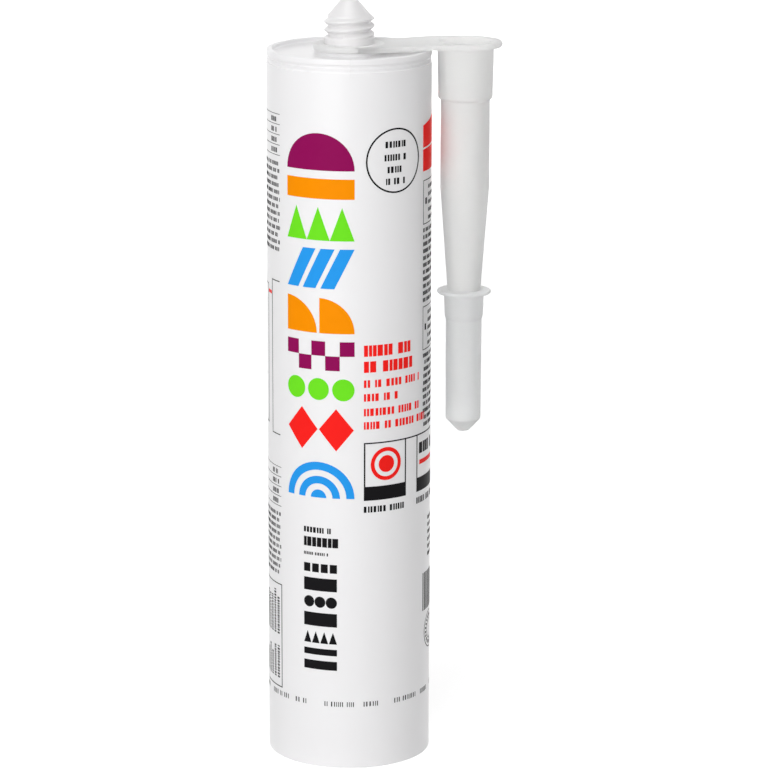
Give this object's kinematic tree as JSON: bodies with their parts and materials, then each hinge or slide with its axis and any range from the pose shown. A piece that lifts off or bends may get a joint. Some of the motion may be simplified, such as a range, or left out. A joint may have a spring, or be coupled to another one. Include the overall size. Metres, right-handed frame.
{
  "type": "caulk tube",
  "caption": "White sealant cartridge with a closed threaded nipple, an inner piston, and a capped translucent nozzle hung beside it on a strap.",
  "frame": {"origin": "on the cartridge's axis, in the plane of its open rear end, which it stands on", "axes": "+Z along the cartridge's axis, towards the nipple; +X from that axis towards the nozzle that hangs beside it; -Y is the side the picture shows"},
  "size_m": [0.0703, 0.0494, 0.2315],
  "materials": {
    "barrel_white": "smooth moulded polyethylene, soft gloss",
    "piston_white": "moulded polyethylene",
    "sealant_white": "soft white paste",
    "nozzle_milky": "milky translucent polyethylene",
    "cap_milky": "milky translucent polyethylene"
  },
  "bodies": {
    "cartridge": {"barrel": "barrel_white", "sealant": "sealant_white"},
    "piston": {"piston": "piston_white"},
    "nozzle": {"nozzle": "nozzle_milky"},
    "cap": {"nozzle_cap": "cap_milky"}
  },
  "joints": [
    {"name": "piston_slide", "type": "slide", "parent": "cartridge", "child": "piston", "axis": [0, 0, 1], "range_m": [0, 0.178], "deforming": ["sealant"]},
    {"name": "nozzle_swivel", "type": "hinge", "parent": "cartridge", "child": "nozzle", "pos_m": [0, 0, 0.21725], "axis": [0, 0, 1], "continuous": true},
    {"name": "cap_pull", "type": "slide", "parent": "nozzle", "child": "cap", "axis": [0, 0, -1], "range_m": [0, 0.042]}
  ]
}
